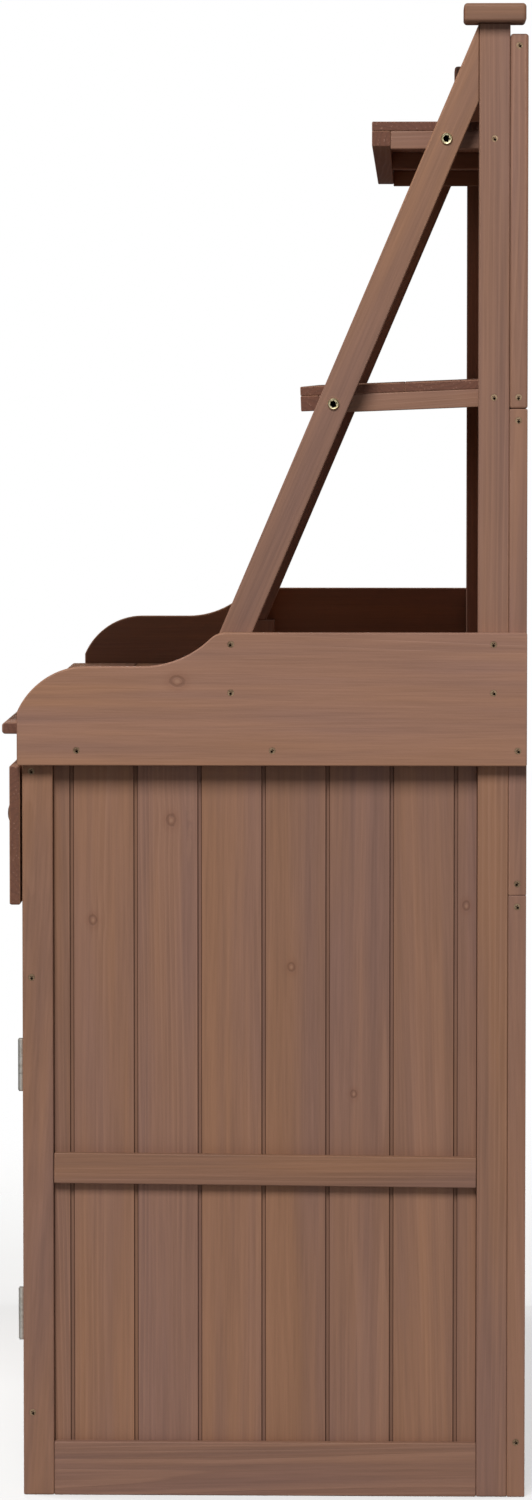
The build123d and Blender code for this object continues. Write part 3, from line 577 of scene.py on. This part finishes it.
def fastener(outline, recess, depth, taper):
    """A turned fastener with its head up at the origin and a recess sunk in it.

    The outline runs from the head's top to the tip: distance from the axis and height, in mm.
    """
    shape = bmesh.new()
    recess_shade_layer = shape.faces.layers.float.new("recess")
    line = [shape.verts.new((far * MM, 0, up * MM)) for far, up in outline]
    edges = [shape.edges.new(pair) for pair in zip(line, line[1:])]
    turning = {"cent": (0, 0, 0), "axis": (0, 0, 1), "angle": 2 * math.pi}
    bmesh.ops.spin(shape, geom=line + edges, steps=24, use_merge=True, **turning)
    halfway = outline[-1][1] / 2 * MM
    tip = [e for e in shape.edges if e.is_boundary and e.verts[0].co.z < halfway]
    bmesh.ops.holes_fill(shape, edges=tip)
    outer = [e for e in shape.edges if e.is_boundary]
    rim = bmesh.ops.create_circle(shape, cap_ends=False, radius=MM, segments=len(recess))["verts"]
    for vert, corner in zip(rim, recess):
        vert.co = (corner + Vector((0, 0, outline[0][1]))) * MM
    inner = list(dict.fromkeys(edge for vert in rim for edge in vert.link_edges))
    bmesh.ops.bridge_loops(shape, edges=outer + inner)
    sunk = bmesh.ops.extrude_edge_only(shape, edges=inner)["geom"]
    dark = [item for item in sunk if isinstance(item, bmesh.types.BMFace)]
    sunk_verts = [item for item in sunk if isinstance(item, bmesh.types.BMVert)]
    bmesh.ops.scale(shape, vec=(taper, taper, 1), verts=sunk_verts)
    bmesh.ops.translate(shape, vec=(0, 0, -depth * MM), verts=sunk_verts)
    open_edges = [e for e in shape.edges if e.is_boundary]
    dark += bmesh.ops.holes_fill(shape, edges=open_edges)["faces"]
    bmesh.ops.recalc_face_normals(shape, faces=shape.faces)
    # The recess faces are marked to be painted dark as shade.
    for face in dark:
        face[recess_shade_layer] = 1.0
    mesh = bpy.data.meshes.new("fastener_pattern")
    shape.to_mesh(mesh)
    shape.free()
    return mesh


def countersunk_screw(length):
    """A countersunk wood screw with a cross recess."""
    outline = [(3.25, 0), (3.25, -0.2), (1.7, -2.2), (1.7, -length * 0.8), (0.3, -length)]
    return fastener(outline, cross_recess(1.8, 0.5), 1.5, 0.45)


def socket_bolt(length):
    """A domed bolt with a wide hexagon socket."""
    outline = [
        (4.0, -0.5), (4.3, -0.1), (4.7, 0), (5.15, -0.3), (5.55, -0.95), (5.75, -1.8),
        (5.75, -2.5), (3.0, -2.5), (3.0, -length),
    ]
    return fastener(outline, hex_recess(3.75), 1.7, 0.8)


def fit_fasteners(node, pattern_of, name, finish):
    """A fastener where each packed one is, turned its own way."""
    packed, solid = parted(node)
    fitted = bmesh.new()
    for _, corners in sorted(by_solid(packed, solid).items()):
        low, high = span(corners)
        size = high - low
        axis = max(range(3), key=lambda index: size[index])
        middle = (low + high) / 2
        round_axis = [other for other in range(3) if other != axis]
        rim = max(corners, key=lambda v: round(
            sum((v.co[other] - middle[other]) ** 2 for other in round_axis), 9
        ))
        outward = Vector((0, 0, 0))
        outward[axis] = 1.0 if rim.co[axis] > middle[axis] else -1.0
        head = middle + outward * size[axis] / 2
        pattern = pattern_of(size[axis] / MM)
        turn = outward.to_track_quat("Z", "Y").to_matrix().to_4x4()
        spun = Matrix.Rotation(draw.uniform(0, math.pi / 2), 4, "Z")
        pattern.transform(Matrix.Translation(head) @ turn @ spun)
        fitted.from_mesh(pattern)
        bpy.data.meshes.remove(pattern)
    packed.free()
    shade(fitted)
    piece(name, fitted, finish, "bench", [node])


fit_fasteners("wood_screws", countersunk_screw, "wood_screws_cross_head", screw_plate)
fit_fasteners("brace_bolts", socket_bolt, "brace_bolts_socket_head", brass)


# ---------------------------------------------------------------- nuts, hinges and catches
steel_parts = (
    "brace_nuts", "hinge_frame_leaves", "hinge_pins", "door_right_hinge_leaves",
    "door_left_hinge_leaves", "door_right_strike", "door_left_strike",
)
hardware = {node: (zinc, "zinc_steel", 0.2) for node in steel_parts}
hardware["door_catches"] = plastic, "black_plastic", 0.5
for node, (finish, slot, edge_width) in hardware.items():
    shape, _ = parted(node)
    ease(shape, edge_width * MM, 2)
    shade(shape, 40)
    piece(node + "_finished", shape, finish, nodes[node]["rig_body"], [node])


# ---------------------------------------------------------------- studio
def studio():
    """A floor, a dim even air and a white backdrop that only the camera sees."""
    floor = bmesh.new()
    bmesh.ops.create_circle(floor, cap_ends=True, radius=14.0, segments=96)
    mesh = bpy.data.meshes.new("studio_floor")
    floor.to_mesh(mesh)
    floor.free()
    mesh.materials.append(studio_floor())
    ground = bpy.data.objects.new("studio_floor", mesh)
    bpy.context.scene.collection.objects.link(ground)

    world = bpy.data.worlds.new("studio_air")
    bpy.context.scene.world = world
    world.use_nodes = True
    tree = world.node_tree
    seen = tree.nodes.new("ShaderNodeLightPath")
    air = tree.nodes["Background"]
    air.inputs["Color"].default_value = (0.96, 0.97, 1.0, 1.0)
    air.inputs["Strength"].default_value = 0.07
    backdrop = tree.nodes.new("ShaderNodeBackground")
    backdrop.inputs["Color"].default_value = (1.0, 1.0, 1.0, 1.0)
    backdrop.inputs["Strength"].default_value = 1.0
    either = tree.nodes.new("ShaderNodeMixShader")
    tree.links.new(seen.outputs["Is Camera Ray"], either.inputs[0])
    tree.links.new(air.outputs[0], either.inputs[1])
    tree.links.new(backdrop.outputs[0], either.inputs[2])
    tree.links.new(either.outputs[0], tree.nodes["World Output"].inputs["Surface"])


def black_card():
    """A card over the worktop's right end that shades the far half from the side lights alone.

    It gives the collection that lets a light past it.
    """
    front, back, low, high = -0.9, 0.5, 0.764, 2.7
    corners = [(front, low), (back, low), (back, high), (front, high)]
    beside_posts = 0.528
    shape = bmesh.new()
    shape.faces.new([shape.verts.new((beside_posts, y, z)) for y, z in corners])
    mesh = bpy.data.meshes.new("black_card")
    shape.to_mesh(mesh)
    shape.free()
    card = bpy.data.objects.new("black_card", mesh)
    bpy.context.scene.collection.objects.link(card)
    card.visible_camera = card.visible_diffuse = card.visible_glossy = False
    card.visible_transmission = card.visible_volume_scatter = False
    passed = bpy.data.collections.new("let_past_the_card")
    passed.objects.link(card)
    passed.collection_objects[0].light_linking.link_state = "EXCLUDE"
    return passed


def softbox(name, place, aim, width, level, passed=None):
    """A square soft light; level is how bright a white card facing it would be.

    A light that is let past the black card leaves no shine either.
    """
    place, aim = Vector(place), Vector(aim)
    light = bpy.data.lights.new(name, "AREA")
    light.shape = "SQUARE"
    light.size = width
    light.energy = level * math.pi**2 * (place - aim).length_squared
    made = bpy.data.objects.new(name, light)
    made.location = place
    made.rotation_euler = (place - aim).to_track_quat("Z", "Y").to_euler()
    bpy.context.scene.collection.objects.link(made)
    if passed:
        made.light_linking.blocker_collection = passed
        made.visible_glossy = False


studio()
passed = black_card()
softbox("side_key", (4.3, -0.8, 4.15), (0.6, 0.0, 0.8), 2.0, 0.99)
softbox("side_fill", (4.6, 1.6, 1.2), (0.6, 0.0, 0.6), 2.2, 0.08)
softbox("front_light", (-0.8, -4.0, 2.8), (0.0, -0.2, 0.7), 2.0, 0.72, passed)
softbox("rear_light", (-0.6, 4.2, 2.6), (0.0, 0.2, 0.7), 2.0, 0.60, passed)
softbox("far_light", (-4.2, -0.4, 2.8), (-0.6, 0.0, 0.7), 2.0, 0.62, passed)


def camera():
    """A long lens that looks slightly down at the right-hand side, nearly square on to it."""
    yaw, pitch, roll = math.radians(1.445), math.radians(3.773), math.radians(0.019)
    ahead = Vector((
        -math.cos(yaw) * math.cos(pitch), -math.sin(yaw) * math.cos(pitch), -math.sin(pitch)
    ))
    lens = bpy.data.cameras.new("side_view")
    lens.sensor_width = 36.0
    lens.lens = 136.2
    lens.clip_start, lens.clip_end = 0.1, 60.0
    made = bpy.data.objects.new("side_view", lens)
    made.location = (6.073, 0.148, 1.095)
    made.rotation_mode = "QUATERNION"
    made.rotation_quaternion = ahead.to_track_quat("-Z", "Y")
    bpy.context.scene.collection.objects.link(made)
    bpy.context.scene.camera = made


camera()
bpy.context.scene.view_settings.view_transform = "Standard"
